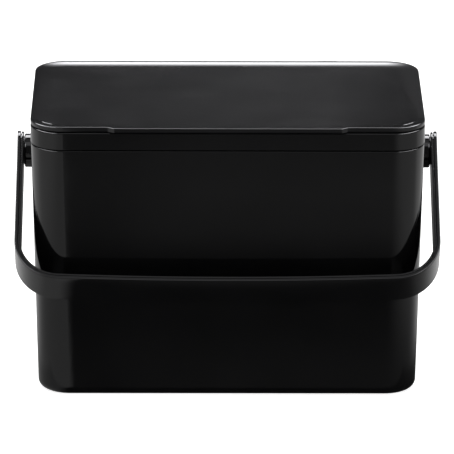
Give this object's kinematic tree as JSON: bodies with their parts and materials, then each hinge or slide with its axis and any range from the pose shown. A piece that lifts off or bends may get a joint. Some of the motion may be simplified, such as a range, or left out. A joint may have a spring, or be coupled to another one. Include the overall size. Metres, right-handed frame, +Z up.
{
  "type": "kitchen food waste caddy",
  "caption": "Tapered black plastic countertop caddy for food waste, with a liner collar, a rear-hinged lid with a front finger lip and a swinging U-shaped carrying handle.",
  "frame": {"origin": "middle of the flat base", "axes": "+Z up, +X to the right along the long side, the front with the finger lip faces -Y"},
  "size_m": [0.2872, 0.185, 0.1923],
  "materials": {
    "gloss_black": "moulded, glossy",
    "satin_black": "moulded, satin gloss",
    "inner_black": "moulded, fine matt texture",
    "seal": "soft silicone",
    "steel": "turned, plain"
  },
  "bodies": {
    "tub": {"tub": "gloss_black", "pivot_hub_left": "gloss_black", "pivot_hub_right": "gloss_black", "pivot_washer_left": "inner_black", "pivot_washer_right": "inner_black", "pivot_screw_left": "steel", "pivot_screw_right": "steel"},
    "handle": {"handle_strap": "gloss_black", "handle_inner_strip": "inner_black", "pivot_cap_left": "gloss_black", "pivot_cap_right": "gloss_black"},
    "collar": {"liner_collar": "gloss_black", "hinge_pin_left": "steel", "hinge_pin_right": "steel"},
    "lid": {"lid_cover": "satin_black", "lid_inner_panel": "inner_black", "lid_seal": "seal"}
  },
  "joints": [
    {"name": "handle_swing", "type": "hinge", "parent": "tub", "child": "handle", "pos_m": [0, 0, 0.1507], "axis": [-1, 0, 0], "range_deg": [0, 256.6]},
    {"name": "collar_lift", "type": "slide", "parent": "tub", "child": "collar", "axis": [0, 0, 1], "range_m": [0, 0.04]},
    {"name": "lid_hinge", "type": "hinge", "parent": "collar", "child": "lid", "pos_m": [0, 0.0832, 0.1833], "axis": [-1, 0, 0], "range_deg": [0, 100]}
  ]
}
